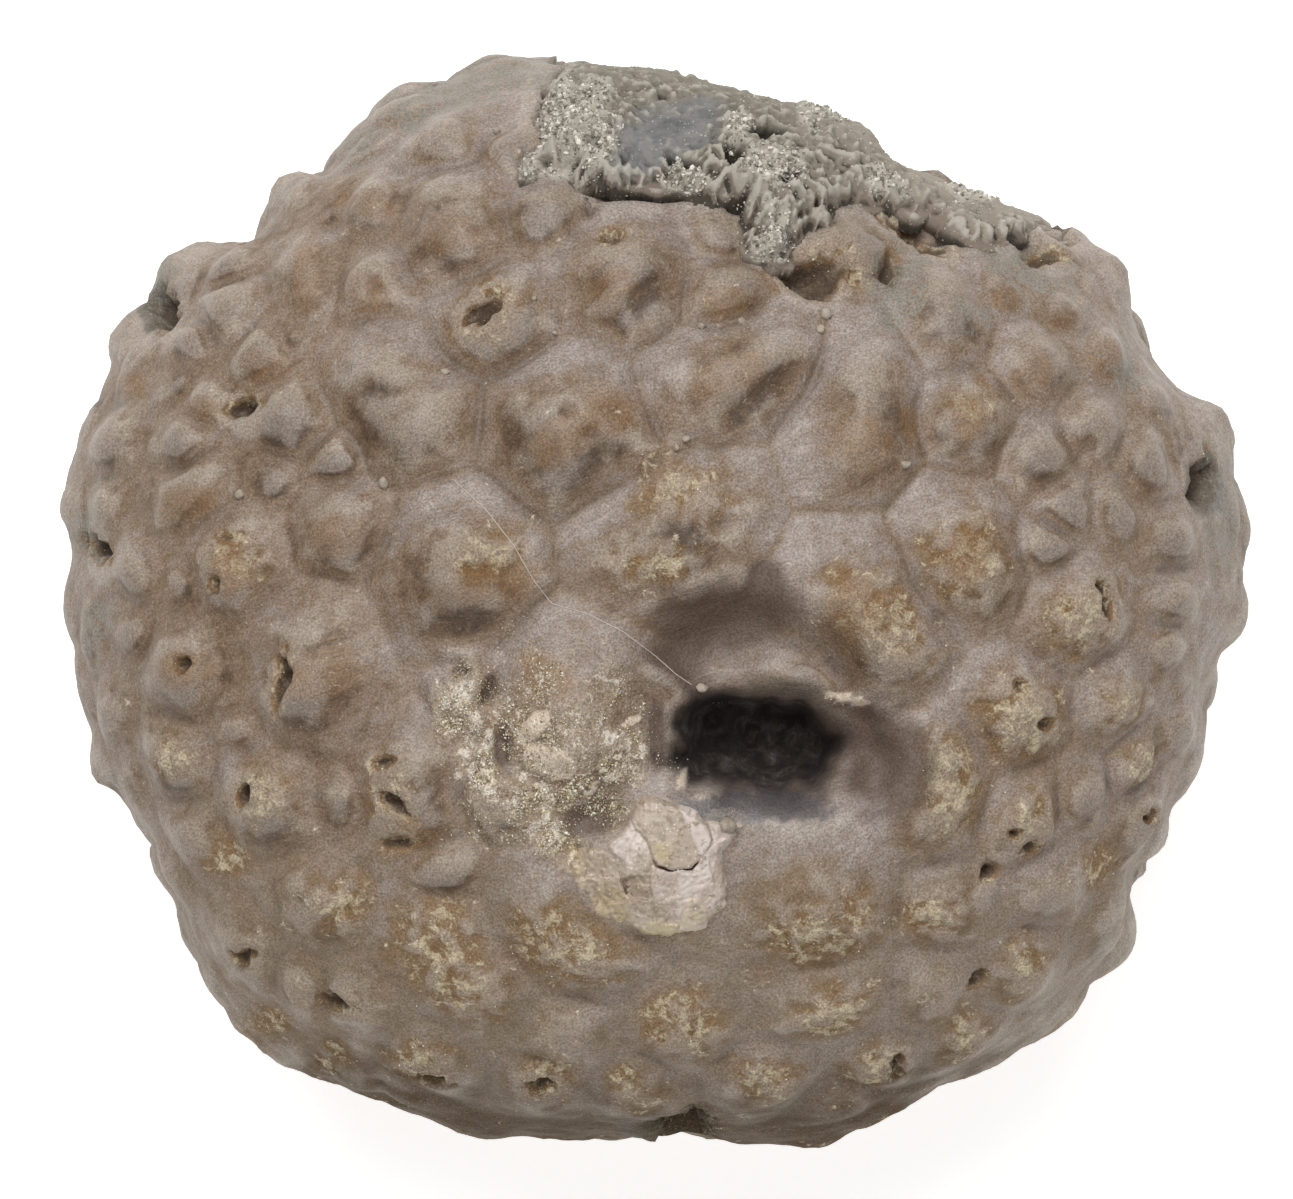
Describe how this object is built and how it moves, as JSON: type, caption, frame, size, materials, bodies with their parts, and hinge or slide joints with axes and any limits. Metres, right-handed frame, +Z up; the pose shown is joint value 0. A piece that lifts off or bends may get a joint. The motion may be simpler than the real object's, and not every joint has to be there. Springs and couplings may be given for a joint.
{
  "type": "fossil crinoid",
  "caption": "Fossil sea-lily calyx: a low domed cup of fused knobbly plates with an off-centre vent and a crust of grey rock on its rim.",
  "frame": {"origin": "on the table, under the middle of the box that holds the calyx, which lies on its cup", "axes": "+Z up through the lid, +Y towards the rim that carries the rock, +X to the right when seen from above with the rock at the far side"},
  "size_m": [0.0476, 0.0441, 0.029],
  "materials": {
    "calcite_plates": "weathered calcite, mauve-grey with warm brown middles, satin to matt",
    "host_rock": "rough grey limestone with pale crystal crumbs, matt"
  },
  "bodies": {
    "root": {"calyx": "calcite_plates", "matrix": "host_rock"}
  },
  "joints": []
}
